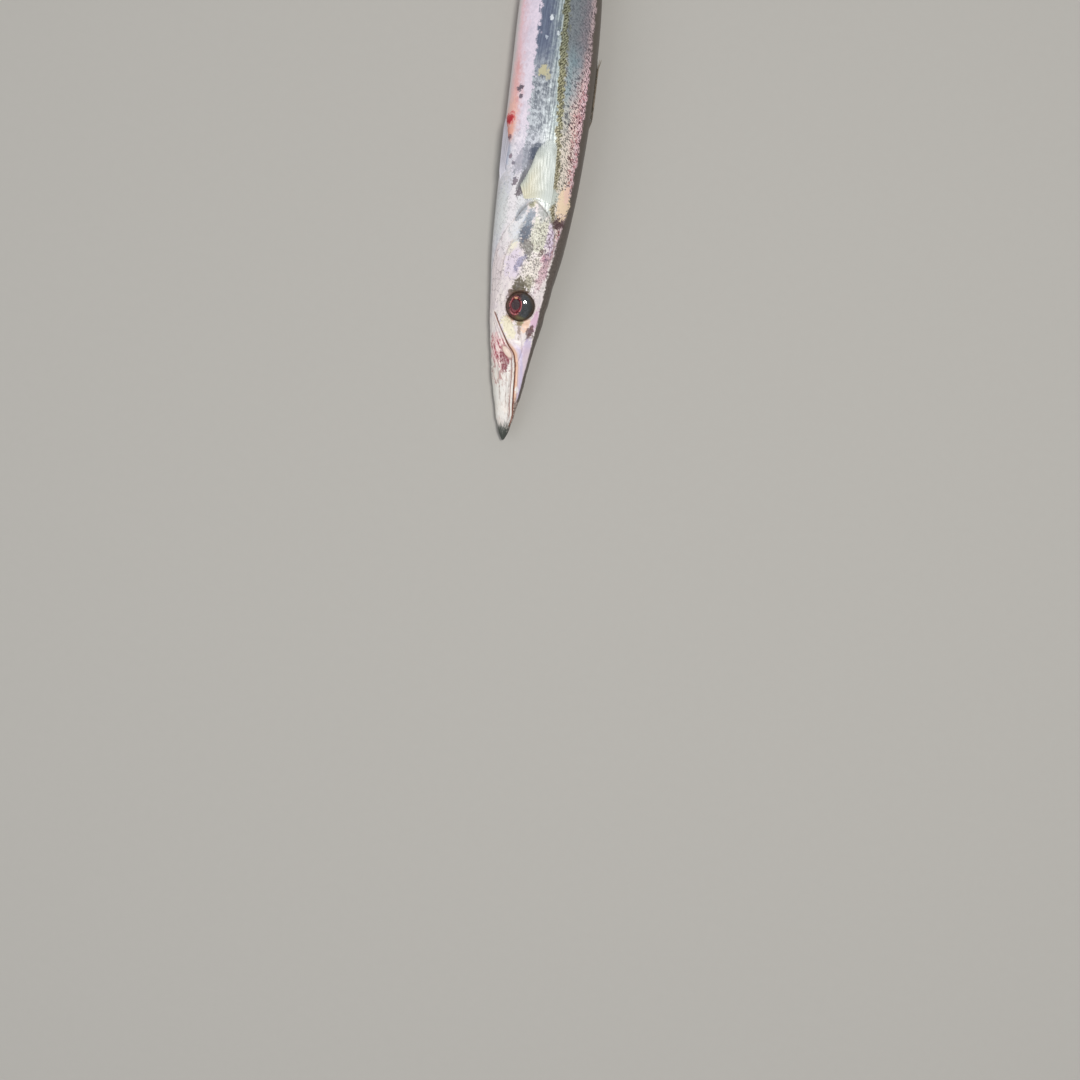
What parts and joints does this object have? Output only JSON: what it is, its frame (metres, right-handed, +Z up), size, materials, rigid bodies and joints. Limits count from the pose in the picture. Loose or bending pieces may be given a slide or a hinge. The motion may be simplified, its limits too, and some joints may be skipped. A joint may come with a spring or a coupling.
{
  "type": "barracuda",
  "caption": "Still, life-size small barracuda lying on its left side, mouth closed, near fins folded to the body and the forked tail half spread, to lay on a floor, slab or shelf.",
  "frame": {"origin": "on the floor, under the middle of the fish's box", "axes": "+Y from the jaws towards the tail, +X from the belly towards the back, +Z up, out of the fish's right side"},
  "size_m": [0.0618, 0.2718, 0.0241],
  "materials": {
    "flesh": "wet silvery skin with fine scales: dark olive back, pink and blue glitter above, white and pink belly",
    "gill_cover": "wet bony plate under smooth silver skin",
    "jaw": "wet cream and grey skin with a dark fleshy tip",
    "eye": "clear wet dome over a dark red pupil and a slate grey iris",
    "fin": "thin translucent yellowish membrane with soft rays",
    "back_fin": "thin dusky membrane folded between slender spines"
  },
  "bodies": {
    "root": {"head": "flesh", "lower_jaw": "jaw", "eye_right": "eye", "eye_left": "eye", "gill_cover_right": "gill_cover", "gill_cover_left": "gill_cover", "trunk": "flesh", "tail": "flesh", "pectoral_fin_right": "fin", "pectoral_fin_left": "fin", "pelvic_fin_right": "fin", "pelvic_fin_left": "fin", "first_dorsal_fin": "back_fin", "second_dorsal_fin": "fin", "anal_fin": "fin", "tail_fin_upper": "fin", "tail_fin_lower": "fin"}
  },
  "joints": []
}
